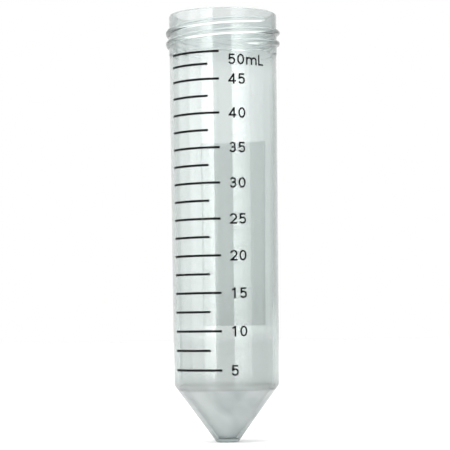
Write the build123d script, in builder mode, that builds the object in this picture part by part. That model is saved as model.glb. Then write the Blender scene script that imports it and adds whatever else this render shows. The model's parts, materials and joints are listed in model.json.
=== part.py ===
from build123d import *
from math import cos, degrees, pi, radians, sin
import os

os.makedirs("parts", exist_ok=True)

# A 50 mL test tube with a conical bottom and a screw neck, without its cap. It is one
# moulding of translucent plastic that carries printed marks, numbers and a writing patch.
# Millimetres. The origin is the middle of the flat tip, and +Z runs up the tube's axis.
# Angles run about +Z from the -Y side, which the printed scale faces, towards +X.

# Outside of the moulding
TOTAL_HEIGHT = 114.5
TIP_RADIUS = 2.92
TIP_EDGE_ROUNDING = 0.35
SHOULDER_HEIGHT = 15.15
SHOULDER_RADIUS = 14.015
SHOULDER_ROUNDING = 1.0
BAND_RADIUS = 14.36
BAND_BOTTOM = 88.0
BAND_TOP = 103.2
NECK_BOTTOM = 103.7
NECK_RADIUS = 14.52
NECK_TOP_RADIUS = 14.46
RIM_ROUNDING = 0.55

# Cavity
FLOOR_HEIGHT = 1.3
FLOOR_RADIUS = 2.4
FLOOR_ROUNDING = 0.6
CAVITY_SHOULDER_HEIGHT = 14.3
CAVITY_SHOULDER_RADIUS = 12.38
MOUTH_BORE_BOTTOM = 101.0
MOUTH_BORE_RADIUS = 13.47
MOUTH_EDGE_ROUNDING = 0.15

# Screw thread: right-handed rounded ribs that sink into the neck at both ends
THREAD_STARTS = 2
THREAD_LEAD = 5.9
THREAD_TOP_ANGLE = 50.0
THREAD_TOP_HEIGHT = 111.8
THREAD_SWEEP = 391.0
THREAD_RIB_RADIUS = 0.8
THREAD_CREST_RADIUS = 15.35
THREAD_FADE_SWEEP = 30.0
THREAD_POINT_STEP = 11.5

# Printed ink
INK_THICKNESS = 0.04
FIRST_VOLUME_ML = 5.0
VOLUME_STEP_ML = 2.5
MARK_COUNT = 19
TOP_MARK_RISES = (4.0, 3.25)
LINE_WIDTH = 0.60
LINE_START_ANGLE = -68.0
LONG_LINE_END_ANGLE = -4.5
SHORT_LINE_END_ANGLE = -16.8
TEXT_START_ANGLE = 5.0
TEXT_HEIGHT = 2.8
TEXT_STROKE = 0.44
GLYPH_WIDTHS = {"4": 2.1, "m": 3.3, "L": 1.75}
DIGIT_WIDTH = 1.95
GLYPH_GAP = 0.52
TOP_TEXT_DROP = 2.1
PATCH_START_ANGLE = 122.0
PATCH_END_ANGLE = 208.5
PATCH_BOTTOM = 30.8
PATCH_TOP = 81.1

# Character shapes: places as shares of a character's width and of the text height,
# and arcs as a start angle with a sweep
ONE_STEM_X = 0.6
ONE_FLAG_START = (0.2, 0.75)
ONE_FLAG_END_Y = 0.9
TWO_BOWL_ARC = (170, -215)
THREE_UPPER_BOWL = 0.21
THREE_UPPER_ARC = (165, -255)
THREE_LOWER_BOWL = 0.24
THREE_LOWER_ARC = (90, -250)
THREE_WAIST_X = 0.36
FOUR_STEM_X = 0.7
FOUR_BAR_Y = 0.27
FIVE_FLAG_X = (0.2, 0.9)
FIVE_BACK_TOP_X = 0.24
FIVE_BACK_FOOT = (0.18, 0.44)
FIVE_BOWL_ARC = (140, -295)
SMALL_LETTER_Y = 0.73

EDGE_SEARCH = 0.01


def outward(angle):
    """Unit vector that points away from the axis at an angle from the -Y side."""
    return Vector(sin(radians(angle)), -cos(radians(angle)), 0)


def wall_radius(height):
    """Outer radius of the barrel, which tapers up to the straight band."""
    rise = min(1.0, (height - SHOULDER_HEIGHT) / (BAND_BOTTOM - SHOULDER_HEIGHT))
    return SHOULDER_RADIUS + rise * (BAND_RADIUS - SHOULDER_RADIUS)


def fill_height(volume_ml):
    """Height of the liquid's level in the tapered cavity, above its cone."""
    cone_height = CAVITY_SHOULDER_HEIGHT - FLOOR_HEIGHT
    cone_radii = FLOOR_RADIUS**2 + FLOOR_RADIUS * CAVITY_SHOULDER_RADIUS + CAVITY_SHOULDER_RADIUS**2
    above_cone = volume_ml * 1000 - pi * cone_height * cone_radii / 3
    taper = (MOUTH_BORE_RADIUS - CAVITY_SHOULDER_RADIUS) / (MOUTH_BORE_BOTTOM - CAVITY_SHOULDER_HEIGHT)
    level_radius = (CAVITY_SHOULDER_RADIUS**3 + 3 * taper * above_cone / pi) ** (1 / 3)
    return CAVITY_SHOULDER_HEIGHT + (level_radius - CAVITY_SHOULDER_RADIUS) / taper


def circles_at(part, height):
    """Circular edges of a part at one height."""
    return part.edges().filter_by(GeomType.CIRCLE).filter_by_position(
        Axis.Z, height - EDGE_SEARCH, height + EDGE_SEARCH
    )


def ink_profile(bottom, top):
    """Section of an ink layer on the barrel's wall, in the sketch of a plane through the axis."""
    inner_bottom = wall_radius(bottom)
    inner_top = wall_radius(top)
    with BuildLine() as outline:
        Polyline(
            (inner_bottom, bottom),
            (inner_bottom + INK_THICKNESS, bottom),
            (inner_top + INK_THICKNESS, top),
            (inner_top, top),
            close=True,
        )
    make_face(outline.edges())


def ink_patch(start_angle, end_angle, bottom, top):
    """A layer of ink over a span of angle and height on the barrel's wall."""
    start = outward(start_angle)
    start_plane = Plane(origin=(0, 0, 0), x_dir=start, z_dir=start.cross(Vector(0, 0, 1)))
    with BuildPart() as patch:
        with BuildSketch(start_plane):
            ink_profile(bottom, top)
        revolve(axis=Axis.Z, revolution_arc=end_angle - start_angle)
    return patch.part


def straight(start, end):
    """A line that joins no builder by itself."""
    return Line(start, end, mode=Mode.PRIVATE)


def arc(centre, radius, start_angle, sweep_angle):
    """An arc that joins no builder by itself."""
    return CenterArc(centre, radius, start_angle, sweep_angle, mode=Mode.PRIVATE)


def glyph_width(glyph):
    """Width of one character."""
    return GLYPH_WIDTHS.get(glyph, DIGIT_WIDTH)


def glyph_strokes(glyph):
    """Middle lines of a character's pen strokes, in a box of TEXT_HEIGHT from its lower left."""
    width = glyph_width(glyph)
    edge = TEXT_STROKE / 2
    left, right, middle = edge, width - edge, width / 2
    base, top = edge, TEXT_HEIGHT - edge
    bowl_radius = right - middle
    if glyph == "1":
        stem = ONE_STEM_X * width
        flag_start = (ONE_FLAG_START[0] * width, ONE_FLAG_START[1] * TEXT_HEIGHT)
        flag = straight(flag_start, (stem, ONE_FLAG_END_Y * TEXT_HEIGHT))
        return [[straight((stem, 0), (stem, TEXT_HEIGHT))], [flag]]
    if glyph == "2":
        bowl = arc((middle, top - bowl_radius), bowl_radius, *TWO_BOWL_ARC)
        turn = bowl @ 1
        slant = straight(turn, (turn.X - turn.Y + base, base))
        return [[bowl, slant], [straight((0, base), (width, base))]]
    if glyph == "3":
        upper_radius = THREE_UPPER_BOWL * TEXT_HEIGHT
        lower_radius = THREE_LOWER_BOWL * TEXT_HEIGHT
        waist = top - 2 * upper_radius
        upper_bowl = arc((middle, top - upper_radius), upper_radius, *THREE_UPPER_ARC)
        lower_bowl = arc((middle, base + lower_radius), lower_radius, *THREE_LOWER_ARC)
        waist_line = straight((THREE_WAIST_X * width, waist), (middle, waist))
        return [[upper_bowl], [lower_bowl], [waist_line]]
    if glyph == "4":
        stem = FOUR_STEM_X * width
        bar = FOUR_BAR_Y * TEXT_HEIGHT
        upright = straight((stem, 0), (stem, TEXT_HEIGHT))
        return [[upright], [straight((0, bar), (width, bar))], [straight((left, bar), (stem, top))]]
    if glyph == "5":
        flag = straight((FIVE_FLAG_X[0] * width, top), (FIVE_FLAG_X[1] * width, top))
        back_foot = (FIVE_BACK_FOOT[0] * width, FIVE_BACK_FOOT[1] * TEXT_HEIGHT)
        back = straight((FIVE_BACK_TOP_X * width, TEXT_HEIGHT), back_foot)
        return [[flag], [back], [arc((middle, base + bowl_radius), bowl_radius, *FIVE_BOWL_ARC)]]
    if glyph == "L":
        return [[straight((left, TEXT_HEIGHT), (left, 0))], [straight((left, base), (width, base))]]
    arch_radius = bowl_radius / 2
    crown = SMALL_LETTER_Y * TEXT_HEIGHT - edge
    strokes = [[straight((left, 0), (left, crown + edge))]]
    for stem in (middle, right):
        arch = arc((stem - arch_radius, crown - arch_radius), arch_radius, 180, -180)
        strokes.append([arch, straight(arch @ 1, (stem, 0))])
    return strokes


def draw_zero():
    """The numeral 0 in the current sketch, as an oval ring."""
    middle = glyph_width("0") / 2
    with Locations((middle, TEXT_HEIGHT / 2)):
        Ellipse(middle, TEXT_HEIGHT / 2)
        Ellipse(middle - TEXT_STROKE, TEXT_HEIGHT / 2 - TEXT_STROKE, mode=Mode.SUBTRACT)


def ink_text(text, middle_height):
    """Characters printed side by side round the barrel, centred on a height."""
    bottom = middle_height - TEXT_HEIGHT / 2
    radius = wall_radius(middle_height)
    with BuildPart() as characters:
        start = radians(TEXT_START_ANGLE) * radius
        for glyph in text:
            width = glyph_width(glyph)
            out = outward(degrees((start + width / 2) / radius))
            along = Vector(0, 0, 1).cross(out)
            corner = out * radius - along * width / 2 + Vector(0, 0, bottom)
            strokes = [] if glyph == "0" else glyph_strokes(glyph)
            with BuildSketch(Plane(origin=corner, x_dir=along, z_dir=out)):
                if glyph == "0":
                    draw_zero()
                for stroke in strokes:
                    trace(stroke, line_width=TEXT_STROKE)
            extrude(amount=TEXT_HEIGHT / 2, both=True)
            start += width + GLYPH_GAP
        with BuildSketch(Plane.XZ):
            ink_profile(bottom - TEXT_STROKE, bottom + TEXT_HEIGHT + TEXT_STROKE)
        revolve(axis=Axis.Z, mode=Mode.INTERSECT)
    return characters.part


def save(part, name):
    """Label one finished piece and write its file."""
    part.label = name
    export_step(part, f"parts/{name}.step")


# One thread rib: a round bar along a helix that dips into the neck at both ends.
rib_path_radius = THREAD_CREST_RADIUS - THREAD_RIB_RADIUS
rib_points = []
for step in range(round(THREAD_SWEEP / THREAD_POINT_STEP) + 1):
    turned = step * THREAD_POINT_STEP
    to_end = min(turned, THREAD_SWEEP - turned)
    sunk = (THREAD_CREST_RADIUS - NECK_RADIUS) * max(0.0, 1 - to_end / THREAD_FADE_SWEEP) ** 2
    place = outward(THREAD_TOP_ANGLE - turned) * (rib_path_radius - sunk)
    rib_points.append(place + Vector(0, 0, THREAD_TOP_HEIGHT - THREAD_LEAD * turned / 360))

with BuildPart() as thread_rib:
    with BuildLine() as rib_path:
        Spline(*rib_points)
    with BuildSketch(Plane(origin=rib_path.line @ 0, z_dir=rib_path.line % 0)):
        Circle(THREAD_RIB_RADIUS)
    sweep(path=rib_path.line)

# The moulding: barrel, cone, neck and thread in one piece, with its cavity cut last so
# that the ribs' sunken ends never reach into the bore.
with BuildPart() as tube_body:
    with BuildSketch(Plane.XZ):
        with BuildLine():
            Polyline(
                (0, 0),
                (TIP_RADIUS, 0),
                (SHOULDER_RADIUS, SHOULDER_HEIGHT),
                (BAND_RADIUS, BAND_BOTTOM),
                (BAND_RADIUS, BAND_TOP),
                (NECK_RADIUS, NECK_BOTTOM),
                (NECK_TOP_RADIUS, TOTAL_HEIGHT),
                (0, TOTAL_HEIGHT),
                close=True,
            )
        make_face()
    revolve(axis=Axis.Z)
    fillet(circles_at(tube_body, 0), TIP_EDGE_ROUNDING)
    fillet(circles_at(tube_body, SHOULDER_HEIGHT), SHOULDER_ROUNDING)
    fillet(circles_at(tube_body, TOTAL_HEIGHT), RIM_ROUNDING)
    with PolarLocations(0, THREAD_STARTS):
        add(thread_rib.part)
    with BuildSketch(Plane.XZ):
        with BuildLine():
            Polyline(
                (0, FLOOR_HEIGHT),
                (FLOOR_RADIUS, FLOOR_HEIGHT),
                (CAVITY_SHOULDER_RADIUS, CAVITY_SHOULDER_HEIGHT),
                (MOUTH_BORE_RADIUS, MOUTH_BORE_BOTTOM),
                (MOUTH_BORE_RADIUS, TOTAL_HEIGHT),
                (0, TOTAL_HEIGHT),
                close=True,
            )
        make_face()
    revolve(axis=Axis.Z, mode=Mode.SUBTRACT)
    fillet(circles_at(tube_body, FLOOR_HEIGHT), FLOOR_ROUNDING)
    fillet(circles_at(tube_body, TOTAL_HEIGHT).sort_by(SortBy.RADIUS)[0], MOUTH_EDGE_ROUNDING)
save(tube_body.part, "tube_body")

# Graduation: each mark stands where the cavity holds its volume, but the last two are
# drawn closer together so that the top one clears the neck.
mark_volumes = [FIRST_VOLUME_ML + VOLUME_STEP_ML * step for step in range(MARK_COUNT)]
mark_heights = [fill_height(volume) for volume in mark_volumes[: -len(TOP_MARK_RISES)]]
for rise in TOP_MARK_RISES:
    mark_heights.append(mark_heights[-1] + rise)

for volume, height in zip(mark_volumes, mark_heights):
    whole_five = volume % 5 == 0
    end_angle = LONG_LINE_END_ANGLE if whole_five else SHORT_LINE_END_ANGLE
    line = ink_patch(LINE_START_ANGLE, end_angle, height - LINE_WIDTH / 2, height + LINE_WIDTH / 2)
    save(line, f"mark_{volume:04.1f}_ml".replace(".", "_"))
    if whole_five and volume < mark_volumes[-1]:
        save(ink_text(f"{volume:.0f}", height), f"number_{volume:02.0f}_ml")
save(ink_text("50mL", mark_heights[-1] - TOP_TEXT_DROP), "number_50_ml")

save(ink_patch(PATCH_START_ANGLE, PATCH_END_ANGLE, PATCH_BOTTOM, PATCH_TOP), "writing_patch")
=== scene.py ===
import json
from math import cos, pi, radians, sin, sqrt

import bpy
from mathutils import Matrix, Vector


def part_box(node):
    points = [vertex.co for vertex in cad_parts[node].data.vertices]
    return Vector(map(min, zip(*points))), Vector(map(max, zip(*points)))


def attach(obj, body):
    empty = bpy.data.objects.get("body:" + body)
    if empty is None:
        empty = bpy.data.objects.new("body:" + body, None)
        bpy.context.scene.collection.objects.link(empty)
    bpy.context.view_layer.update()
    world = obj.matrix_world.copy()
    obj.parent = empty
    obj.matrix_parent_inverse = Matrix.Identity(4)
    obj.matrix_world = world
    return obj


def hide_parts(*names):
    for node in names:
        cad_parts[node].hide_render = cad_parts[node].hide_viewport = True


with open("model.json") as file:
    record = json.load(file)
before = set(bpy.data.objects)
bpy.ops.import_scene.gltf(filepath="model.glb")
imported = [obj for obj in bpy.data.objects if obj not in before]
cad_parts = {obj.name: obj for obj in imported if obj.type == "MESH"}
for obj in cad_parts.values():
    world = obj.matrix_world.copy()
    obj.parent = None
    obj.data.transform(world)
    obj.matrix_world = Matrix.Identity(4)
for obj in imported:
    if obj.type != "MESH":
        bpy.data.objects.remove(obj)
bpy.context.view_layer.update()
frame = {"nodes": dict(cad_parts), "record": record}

# Metres. The tube stands on its flat tip at the origin with its axis along +Z. Its printed
# scale faces -Y, where the camera is. Angles run about +Z from -Y towards +X.

MM = 0.001


def mount(name):
    """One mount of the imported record, by name."""
    return next(m for m in frame["record"]["mounts"] if m["name"] == name)


# ---------------------------------------------------------------- sizes of the moulding

TOTAL_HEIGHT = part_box("tube_body")[1][2]
BAND_RADIUS = mount("barrel")["dims"]["r_mm"] * MM
MOUTH_BORE_RADIUS = mount("mouth")["dims"]["r_mm"] * MM

TIP_RADIUS = 2.92 * MM
TIP_EDGE_ROUNDING = 0.35 * MM
SHOULDER_HEIGHT = 15.15 * MM
SHOULDER_RADIUS = 14.015 * MM
SHOULDER_ROUNDING = 1.0 * MM
BAND_BOTTOM = 88.0 * MM
BAND_TOP = 103.2 * MM
NECK_BOTTOM = 103.7 * MM
NECK_STEP_ROUNDING = 0.3 * MM
NECK_RADIUS = 14.52 * MM
NECK_TOP_RADIUS = 14.46 * MM
RIM_ROUNDING = 0.55 * MM
FLOOR_HEIGHT = 1.3 * MM
FLOOR_RADIUS = 2.4 * MM
FLOOR_ROUNDING = 0.6 * MM
CAVITY_SHOULDER_HEIGHT = 14.3 * MM
CAVITY_SHOULDER_RADIUS = 12.38 * MM
CAVITY_SHOULDER_ROUNDING = 1.2 * MM
MOUTH_BORE_BOTTOM = 101.0 * MM
MOUTH_EDGE_ROUNDING = 0.15 * MM

THREAD_STARTS = 2
THREAD_LEAD = 5.9 * MM
THREAD_TOP_ANGLE = 50.0
THREAD_TOP_HEIGHT = 111.8 * MM
THREAD_SWEEP = 391.0
THREAD_RIB_RADIUS = 0.8 * MM
THREAD_CREST_RADIUS = 15.35 * MM
THREAD_FADE_SWEEP = 30.0
THREAD_ROOT_BLEND = 0.10 * MM

# The ribs are raised from the outer skin between these heights, on a finer mesh.
THREAD_ZONE_BOTTOM = NECK_BOTTOM + 0.6 * MM
THREAD_ZONE_TOP = THREAD_TOP_HEIGHT + THREAD_RIB_RADIUS + 0.1 * MM
OUTER_SKIN_RADIUS = MOUTH_BORE_RADIUS + 0.5 * MM
THREAD_MESH_STEP = 0.09 * MM
PLAIN_MESH_STEP = 2.5 * MM
SEGMENTS = 360


# ---------------------------------------------------------------- the moulding's mesh


def rounded_path(corners, arc_steps=8):
    """A (radius, height) path through corners given as (radius, height, rounding)."""
    path = []
    for i, (r, z, rounding) in enumerate(corners):
        here = Vector((r, z))
        if rounding == 0 or i in (0, len(corners) - 1):
            path.append(here)
            continue
        back = (Vector(corners[i - 1][:2]) - here).normalized()
        ahead = (Vector(corners[i + 1][:2]) - here).normalized()
        half = back.angle(ahead) / 2
        bisector = (back + ahead).normalized()
        centre = here + bisector * (rounding / sin(half))
        reach = rounding * cos(half) / sin(half)
        first = (here + back * reach - centre).normalized()
        last = (here + ahead * reach - centre).normalized()
        for step in range(arc_steps + 1):
            path.append(centre + first.slerp(last, step / arc_steps) * rounding)
    return path


def subdivided(path, longest):
    """The same path with no step longer than a length."""
    fine = [path[0]]
    for start, end in zip(path, path[1:]):
        steps = max(1, int((end - start).length / longest) + 1)
        fine += [start.lerp(end, step / steps) for step in range(1, steps + 1)]
    return fine


def rib_radius(angle, height):
    """Radius of the thread ribs' surface at a place on the neck, or 0 where there is none."""
    best = 0.0
    for start in range(THREAD_STARTS):
        turned = (THREAD_TOP_ANGLE + start * 360 / THREAD_STARTS - angle) % 360
        while turned <= THREAD_SWEEP:
            off = height - (THREAD_TOP_HEIGHT - THREAD_LEAD * turned / 360)
            if abs(off) < THREAD_RIB_RADIUS:
                to_end = min(turned, THREAD_SWEEP - turned)
                fade = max(0.0, 1 - to_end / THREAD_FADE_SWEEP) ** 2
                middle = THREAD_CREST_RADIUS - THREAD_RIB_RADIUS
                middle -= fade * (THREAD_CREST_RADIUS - NECK_RADIUS)
                best = max(best, middle + sqrt(THREAD_RIB_RADIUS**2 - off**2))
            turned += 360
    return best


def smooth_max(a, b, blend):
    """The larger of two radii, with a fillet where they are nearly equal."""
    mix = max(0.0, blend - abs(a - b)) / blend
    return max(a, b) + mix * mix * blend / 4


def wall_profile():
    """The wall's (radius, height) outline: outside up, over the rim, and down the cavity."""
    outline = rounded_path(
        [
            (0, 0, 0),
            (TIP_RADIUS, 0, TIP_EDGE_ROUNDING),
            (SHOULDER_RADIUS, SHOULDER_HEIGHT, SHOULDER_ROUNDING),
            (BAND_RADIUS, BAND_BOTTOM, 0),
            (BAND_RADIUS, BAND_TOP, NECK_STEP_ROUNDING),
            (NECK_RADIUS, NECK_BOTTOM, NECK_STEP_ROUNDING),
            (NECK_TOP_RADIUS, TOTAL_HEIGHT, RIM_ROUNDING),
            (MOUTH_BORE_RADIUS, TOTAL_HEIGHT, MOUTH_EDGE_ROUNDING),
            (MOUTH_BORE_RADIUS, MOUTH_BORE_BOTTOM, 0),
            (CAVITY_SHOULDER_RADIUS, CAVITY_SHOULDER_HEIGHT, CAVITY_SHOULDER_ROUNDING),
            (FLOOR_RADIUS, FLOOR_HEIGHT, FLOOR_ROUNDING),
            (0, FLOOR_HEIGHT, 0),
        ]
    )
    profile = []
    for start, end in zip(outline, outline[1:]):
        crosses_zone = end.y > THREAD_ZONE_BOTTOM and start.y < THREAD_ZONE_TOP
        fine = start.x > OUTER_SKIN_RADIUS and crosses_zone
        profile += subdivided([start, end], THREAD_MESH_STEP if fine else PLAIN_MESH_STEP)[:-1]
    return profile[1:]


def build_tube_mesh():
    """The closed wall of the tube, turned from its profile, with the thread ribs raised from it."""
    profile = wall_profile()
    verts = [(0, 0, 0)]
    for point in profile:
        in_zone = THREAD_ZONE_BOTTOM < point.y < THREAD_ZONE_TOP
        on_thread = point.x > OUTER_SKIN_RADIUS and in_zone
        for segment in range(SEGMENTS):
            angle = 360 * segment / SEGMENTS
            radius = point.x
            if on_thread:
                radius = smooth_max(radius, rib_radius(angle, point.y), THREAD_ROOT_BLEND)
            turn = radians(angle)
            verts.append((radius * sin(turn), -radius * cos(turn), point.y))
    verts.append((0, 0, FLOOR_HEIGHT))

    faces = []
    last = len(verts) - 1
    for segment in range(SEGMENTS):
        after = (segment + 1) % SEGMENTS
        faces.append((0, 1 + after, 1 + segment))
        for ring in range(len(profile) - 1):
            low = 1 + ring * SEGMENTS
            high = low + SEGMENTS
            faces.append((low + segment, low + after, high + after, high + segment))
        top = 1 + (len(profile) - 1) * SEGMENTS
        faces.append((top + segment, top + after, last))
    mesh = bpy.data.meshes.new("tube_wall")
    mesh.from_pydata(verts, [], faces)
    mesh.shade_smooth()
    mesh.validate()
    return mesh


# ---------------------------------------------------------------- shader nodes

NOISE_DETAIL = 3.0


def new_material(name):
    """A node material: its nodes, their links and its Principled shader."""
    material = bpy.data.materials.new(name)
    material.use_nodes = True
    nodes = material.node_tree.nodes
    return material, nodes, material.node_tree.links, nodes["Principled BSDF"]


def noise(nodes, links, scale, turn=(0, 0, 0), stretch=(1, 1, 1)):
    """Fractal noise in the object's own space, drawn out along the axes with a share under 1."""
    place = nodes.new("ShaderNodeTexCoord")
    mapping = nodes.new("ShaderNodeMapping")
    mapping.vector_type = "TEXTURE"
    mapping.inputs["Rotation"].default_value = turn
    mapping.inputs["Scale"].default_value = [1 / share for share in stretch]
    texture = nodes.new("ShaderNodeTexNoise")
    texture.inputs["Scale"].default_value = scale
    texture.inputs["Detail"].default_value = NOISE_DETAIL
    links.new(place.outputs["Object"], mapping.inputs["Vector"])
    links.new(mapping.outputs["Vector"], texture.inputs["Vector"])
    return texture.outputs["Fac"]


def ranged(nodes, links, source, low, high, spread=0.2):
    """Noise within a spread of its middle, 0.5, carried to a range of values."""
    node = nodes.new("ShaderNodeMapRange")
    node.inputs["From Min"].default_value = 0.5 - spread
    node.inputs["From Max"].default_value = 0.5 + spread
    node.inputs["To Min"].default_value = low
    node.inputs["To Max"].default_value = high
    links.new(source, node.inputs["Value"])
    return node.outputs["Result"]


def blended(nodes, links, factor, first, second):
    """A colour between two, by a factor."""
    node = nodes.new("ShaderNodeMix")
    node.data_type = "RGBA"
    node.inputs["A"].default_value = (*first, 1)
    node.inputs["B"].default_value = (*second, 1)
    links.new(factor, node.inputs["Factor"])
    return node.outputs["Result"]


def multiplied(nodes, links, first, second, factor=None):
    """One colour multiplied by another, wholly or as far as a factor says."""
    node = nodes.new("ShaderNodeMix")
    node.data_type = "RGBA"
    node.blend_type = "MULTIPLY"
    node.inputs["Factor"].default_value = 1.0
    if factor is not None:
        links.new(factor, node.inputs["Factor"])
    links.new(first, node.inputs["A"])
    links.new(second, node.inputs["B"])
    return node.outputs["Result"]


def height_ramp(nodes, links, stops):
    """A colour that changes with height above the tip, from (height, colour) stops."""
    place = nodes.new("ShaderNodeTexCoord")
    split = nodes.new("ShaderNodeSeparateXYZ")
    share = nodes.new("ShaderNodeMath")
    share.operation = "DIVIDE"
    share.inputs[1].default_value = TOTAL_HEIGHT
    ramp = nodes.new("ShaderNodeValToRGB")
    links.new(place.outputs["Object"], split.inputs["Vector"])
    links.new(split.outputs["Z"], share.inputs[0])
    links.new(share.outputs["Value"], ramp.inputs["Fac"])
    for i, (height, colour) in enumerate(stops):
        stop = ramp.color_ramp.elements[i] if i < 2 else ramp.color_ramp.elements.new(1.0)
        stop.position = height / TOTAL_HEIGHT
        stop.color = (*colour, 1)
    return ramp.outputs["Color"]


def grey(stops):
    """Height stops whose value is a number, as stops for a colour ramp."""
    return [(height, (value,) * 3) for height, value in stops]


def add_bump(nodes, links, shader, height, strength, distance):
    """Relief on a shader's surface from a height."""
    bump = nodes.new("ShaderNodeBump")
    bump.inputs["Strength"].default_value = strength
    bump.inputs["Distance"].default_value = distance
    links.new(height, bump.inputs["Height"])
    links.new(bump.outputs["Normal"], shader.inputs["Normal"])


# ---------------------------------------------------------------- the tube's materials

# What the plastic's surface lets through, by height: its own grey-green tint, with painted shade
# that darkens the lower barrel and the cone. It lets through the most in the upper barrel, less
# in the neck, and the least in the cone. Absorption inside the wall darkens it further.
PLASTIC_TINT_AND_PAINTED_SHADE = [
    (0, (0.710, 0.738, 0.750)),
    (2.6 * MM, (0.659, 0.676, 0.678)),
    (SHOULDER_HEIGHT - 1.0 * MM, (0.665, 0.678, 0.677)),
    (SHOULDER_HEIGHT + 0.6 * MM, (0.731, 0.745, 0.739)),
    (SHOULDER_HEIGHT + 11.0 * MM, (0.758, 0.772, 0.767)),
    (SHOULDER_HEIGHT + 14.5 * MM, (0.875, 0.889, 0.884)),
    (0.40 * TOTAL_HEIGHT, (0.929, 0.947, 0.941)),
    (BAND_TOP - 4.0 * MM, (0.916, 0.937, 0.933)),
    (NECK_BOTTOM + 1.0 * MM, (0.790, 0.816, 0.813)),
]
# The cone and the neck are hazier than the barrel.
PLASTIC_ROUGHNESS = [
    (0, 0.13),
    (SHOULDER_HEIGHT + 0.5 * MM, 0.13),
    (SHOULDER_HEIGHT + 4.0 * MM, 0.03),
    (BAND_TOP, 0.03),
    (NECK_BOTTOM + 0.5 * MM, 0.10),
]
PLASTIC_GRAIN_SCALE = 500
PLASTIC_GRAIN_ROUGHNESS = 0.05
PLASTIC_TRANSMISSION = 0.96
PLASTIC_IOR = 1.49
ABSORPTION_COLOUR = (0.50, 0.60, 0.575)
ABSORPTION_PER_METRE = 210.0

FLOW_LINE_SCALE = 260
FLOW_LINE_STRETCH = (1, 1, 0.03)
FLOW_LINE_DARK = (0.945, 0.95, 0.95)
FLOW_LINE_CLEAR = (1, 1, 1)
FLOW_LINE_BUMP = 0.05
FLOW_LINE_DEPTH = 0.05 * MM

# Tilted lighter and darker streaks in the cone's colour, kept to the cone by this mask.
IN_CONE = [(0, 1), (SHOULDER_HEIGHT - 2.0 * MM, 1), (SHOULDER_HEIGHT, 0)]
CONE_STREAK_SCALE = 170
CONE_STREAK_TILT = radians(-36.0)
CONE_STREAK_STRETCH = (1, 1, 0.16)
CONE_STREAK_SPREAD = 0.07
CONE_STREAK_DARK = (0.89, 0.905, 0.915)
CONE_STREAK_LIGHT = (1.10, 1.10, 1.09)

INK_GRAIN_SCALE = 1800
INK_GRAIN_ROUGHNESS = 0.06
INK_COVER_SCALE = 220
INK_BUMP = 0.05
INK_DEPTH = 0.02 * MM


def polypropylene():
    """Clear-cloudy moulded plastic with painted shade on its cone and lower barrel: flow lines up
    the barrel, tilted lighter and darker streaks in the cone, soft haze.
    """
    material, nodes, links, shader = new_material("polypropylene")
    flow = noise(nodes, links, FLOW_LINE_SCALE, stretch=FLOW_LINE_STRETCH)
    flow_share = ranged(nodes, links, flow, 0, 1)
    cone_streak_noise = noise(nodes, links, CONE_STREAK_SCALE, turn=(0, CONE_STREAK_TILT, 0), stretch=CONE_STREAK_STRETCH)
    cone_streak_share = ranged(nodes, links, cone_streak_noise, 0, 1, CONE_STREAK_SPREAD)

    # Painted shade: the tint by height darkens the lower barrel and the cone.
    tint_and_painted_shade = height_ramp(nodes, links, PLASTIC_TINT_AND_PAINTED_SHADE)
    streaks = blended(nodes, links, flow_share, FLOW_LINE_DARK, FLOW_LINE_CLEAR)
    streaked = multiplied(nodes, links, tint_and_painted_shade, streaks)
    cone_streak_colour = blended(nodes, links, cone_streak_share, CONE_STREAK_DARK, CONE_STREAK_LIGHT)
    in_cone = height_ramp(nodes, links, grey(IN_CONE))
    cone_streaked = multiplied(nodes, links, streaked, cone_streak_colour, in_cone)
    links.new(cone_streaked, shader.inputs["Base Color"])

    haze = height_ramp(nodes, links, grey(PLASTIC_ROUGHNESS))
    grain = noise(nodes, links, PLASTIC_GRAIN_SCALE)
    roughness = nodes.new("ShaderNodeMath")
    roughness.operation = "ADD"
    links.new(haze, roughness.inputs[0])
    links.new(ranged(nodes, links, grain, 0, PLASTIC_GRAIN_ROUGHNESS), roughness.inputs[1])
    links.new(roughness.outputs["Value"], shader.inputs["Roughness"])

    depth = nodes.new("ShaderNodeVolumeAbsorption")
    depth.inputs["Color"].default_value = (*ABSORPTION_COLOUR, 1)
    depth.inputs["Density"].default_value = ABSORPTION_PER_METRE
    links.new(depth.outputs["Volume"], nodes["Material Output"].inputs["Volume"])
    shader.inputs["Transmission Weight"].default_value = PLASTIC_TRANSMISSION
    shader.inputs["IOR"].default_value = PLASTIC_IOR
    add_bump(nodes, links, shader, flow, FLOW_LINE_BUMP, FLOW_LINE_DEPTH)
    return material


def printed_ink(name, thin, thick, roughness, gloss, cover_alpha=1.0):
    """Printed ink whose depth of colour and gloss vary a little over the print."""
    material, nodes, links, shader = new_material(name)
    grain = noise(nodes, links, INK_GRAIN_SCALE)
    cover = noise(nodes, links, INK_COVER_SCALE)
    colour = blended(nodes, links, ranged(nodes, links, cover, 0, 1), thick, thin)
    links.new(colour, shader.inputs["Base Color"])
    sheen = ranged(nodes, links, grain, roughness, roughness + INK_GRAIN_ROUGHNESS)
    links.new(sheen, shader.inputs["Roughness"])
    shader.inputs["Specular IOR Level"].default_value = gloss
    shader.inputs["Alpha"].default_value = cover_alpha
    add_bump(nodes, links, shader, grain, INK_BUMP, INK_DEPTH)
    return material


tube = bpy.data.objects.new("tube_wall", build_tube_mesh())
bpy.context.collection.objects.link(tube)
tube.data.materials.append(polypropylene())
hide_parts("tube_body")
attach(tube, "root")

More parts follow.
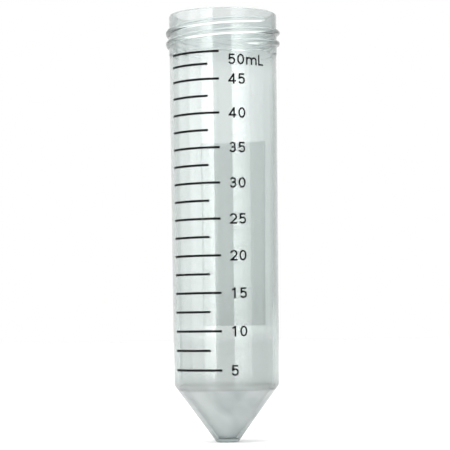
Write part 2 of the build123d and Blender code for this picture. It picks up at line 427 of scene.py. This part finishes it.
black_ink = printed_ink(
    "black_ink",
    thin=(0.005, 0.005, 0.0055),
    thick=(0.0015, 0.0015, 0.002),
    roughness=0.18,
    gloss=0.05,
)
white_ink = printed_ink(
    "white_ink",
    thin=(0.90, 0.94, 0.93),
    thick=(0.93, 0.96, 0.95),
    roughness=0.45,
    gloss=0.3,
    cover_alpha=0.34,
)
for name, node in frame["nodes"].items():
    if name.startswith(("mark_", "number_")):
        for slot in node.material_slots:
            slot.material = black_ink
    elif name == "writing_patch":
        for slot in node.material_slots:
            slot.material = white_ink


# ---------------------------------------------------------------- floor

FLOOR_HALF = 3.0
PAPER_TONE = 0.75
PAPER_DARKEST_SHARE = 0.98
PAPER_FIBRE_SCALE = 40
PAPER_ROUGHNESS = 0.9


def plain_floor():
    """Matt pale paper with faint fibres, which looks white under the lamps."""
    material, nodes, links, shader = new_material("paper_sweep")
    fibres = noise(nodes, links, PAPER_FIBRE_SCALE)
    tone = ranged(nodes, links, fibres, PAPER_TONE * PAPER_DARKEST_SHARE, PAPER_TONE)
    links.new(tone, shader.inputs["Base Color"])
    shader.inputs["Roughness"].default_value = PAPER_ROUGHNESS
    shader.inputs["Specular IOR Level"].default_value = 0.0
    return material


def backdrop(name, corners, material):
    """A flat piece of the stage from its four corners."""
    mesh = bpy.data.meshes.new(name)
    mesh.from_pydata(corners, [], [(0, 1, 2, 3)])
    piece = bpy.data.objects.new(name, mesh)
    bpy.context.collection.objects.link(piece)
    piece.data.materials.append(material)


floor_signs = ((-1, -1), (1, -1), (1, 1), (-1, 1))
backdrop("floor", [(x * FLOOR_HALF, y * FLOOR_HALF, 0) for x, y in floor_signs], plain_floor())


# ---------------------------------------------------------------- lights

SOFTBOX_DISTANCE = 0.42
SOFTBOX_HEIGHT = 0.42
SOFTBOX_FLOOR_GAP = 1.0 * MM
# Name, two angles from the camera's side with left negative, and radiance. On the left a bright
# key has a crisp inner edge and dimmer panels beyond it. On the right a weaker fill fades outwards.
SOFTBOXES = (
    ("key_inner", -21.8, -33, 5.6),
    ("key_outer", -33, -48, 4.6),
    ("key_wing", -48, -80, 2.5),
    ("key_back", -80, -112, 1.15),
    ("fill_inner", 17.5, 38, 2.7),
    ("fill_middle", 38, 47, 2.3),
    ("fill_outer", 47, 57, 1.6),
)
OVERHEAD_SIDE = 6.0
OVERHEAD_HEIGHT = 2.0
OVERHEAD_RADIANCE = 1.12

# The world is full white behind the tube and fades to these strengths at either side, over
# this range of a direction's sideways part.
WORLD_FADE_START = 0.2
WORLD_FADE_END = 0.6
WORLD_RIGHT = 0.72
WORLD_LEFT = 0.93


def add_lamp(name, width, height, radiance, place, right, facing_from):
    """A rectangular softbox of a given brightness, where the white background counts as 1."""
    lamp = bpy.data.lights.new(name, "AREA")
    lamp.shape = "RECTANGLE"
    lamp.size = width
    lamp.size_y = height
    lamp.energy = radiance * width * height * pi
    holder = bpy.data.objects.new(name, lamp)
    axes = Matrix((right, facing_from.cross(right), facing_from)).transposed()
    holder.matrix_world = Matrix.Translation(place) @ axes.to_4x4()
    bpy.context.collection.objects.link(holder)


def upright_softbox(name, near_angle, far_angle, radiance):
    """A softbox that stands on the floor between two angles, facing the tube."""
    middle = radians((near_angle + far_angle) / 2)
    width = 2 * SOFTBOX_DISTANCE * abs(sin(radians(far_angle - near_angle) / 2))
    outward = Vector((sin(middle), -cos(middle), 0))
    across = Vector((0, 0, 1)).cross(outward)
    place = outward * SOFTBOX_DISTANCE + Vector((0, 0, SOFTBOX_HEIGHT / 2 + SOFTBOX_FLOOR_GAP))
    add_lamp(name, width, SOFTBOX_HEIGHT, radiance, place, across, outward)


def studio_world():
    """A white world that dims a little to the left and more to the right."""
    world = bpy.data.worlds.new("studio")
    bpy.context.scene.world = world
    world.use_nodes = True
    nodes, links = world.node_tree.nodes, world.node_tree.links
    background = nodes["Background"]
    background.inputs["Color"].default_value = (1, 1, 1, 1)
    direction = nodes.new("ShaderNodeTexCoord")
    split = nodes.new("ShaderNodeSeparateXYZ")
    links.new(direction.outputs["Generated"], split.inputs["Vector"])
    both_sides = nodes.new("ShaderNodeMath")
    both_sides.operation = "MULTIPLY"
    for i, (sign, strength) in enumerate(((1, WORLD_RIGHT), (-1, WORLD_LEFT))):
        side = nodes.new("ShaderNodeMapRange")
        side.interpolation_type = "SMOOTHSTEP"
        side.inputs["From Min"].default_value = sign * WORLD_FADE_START
        side.inputs["From Max"].default_value = sign * WORLD_FADE_END
        side.inputs["To Min"].default_value = 1.0
        side.inputs["To Max"].default_value = strength
        links.new(split.outputs["X"], side.inputs["Value"])
        links.new(side.outputs["Result"], both_sides.inputs[i])
    links.new(both_sides.outputs["Value"], background.inputs["Strength"])


for softbox in SOFTBOXES:
    upright_softbox(*softbox)
add_lamp(
    "overhead",
    OVERHEAD_SIDE,
    OVERHEAD_SIDE,
    OVERHEAD_RADIANCE,
    place=Vector((0, 0, OVERHEAD_HEIGHT)),
    right=Vector((1, 0, 0)),
    facing_from=Vector((0, 0, 1)),
)
studio_world()


# ---------------------------------------------------------------- camera

CAMERA_DISTANCE = 0.4988
CAMERA_HEIGHT = 0.0312
CAMERA_PITCH = radians(3.063)
CAMERA_ROLL = radians(-0.664)
CAMERA_LENS_MM = 149.0
CAMERA_SENSOR_MM = 36
CAMERA_CLIP_START = 0.01

camera_data = bpy.data.cameras.new("camera")
camera_data.sensor_width = CAMERA_SENSOR_MM
camera_data.lens = CAMERA_LENS_MM
camera_data.clip_start = CAMERA_CLIP_START
camera = bpy.data.objects.new("camera", camera_data)
camera.matrix_world = (
    Matrix.Translation((0, -CAMERA_DISTANCE, CAMERA_HEIGHT))
    @ Matrix.Rotation(pi / 2 + CAMERA_PITCH, 4, "X")
    @ Matrix.Rotation(CAMERA_ROLL, 4, "Z")
)
bpy.context.collection.objects.link(camera)
bpy.context.scene.camera = camera
bpy.context.scene.view_settings.view_transform = "Standard"

bpy.context.view_layer.update()
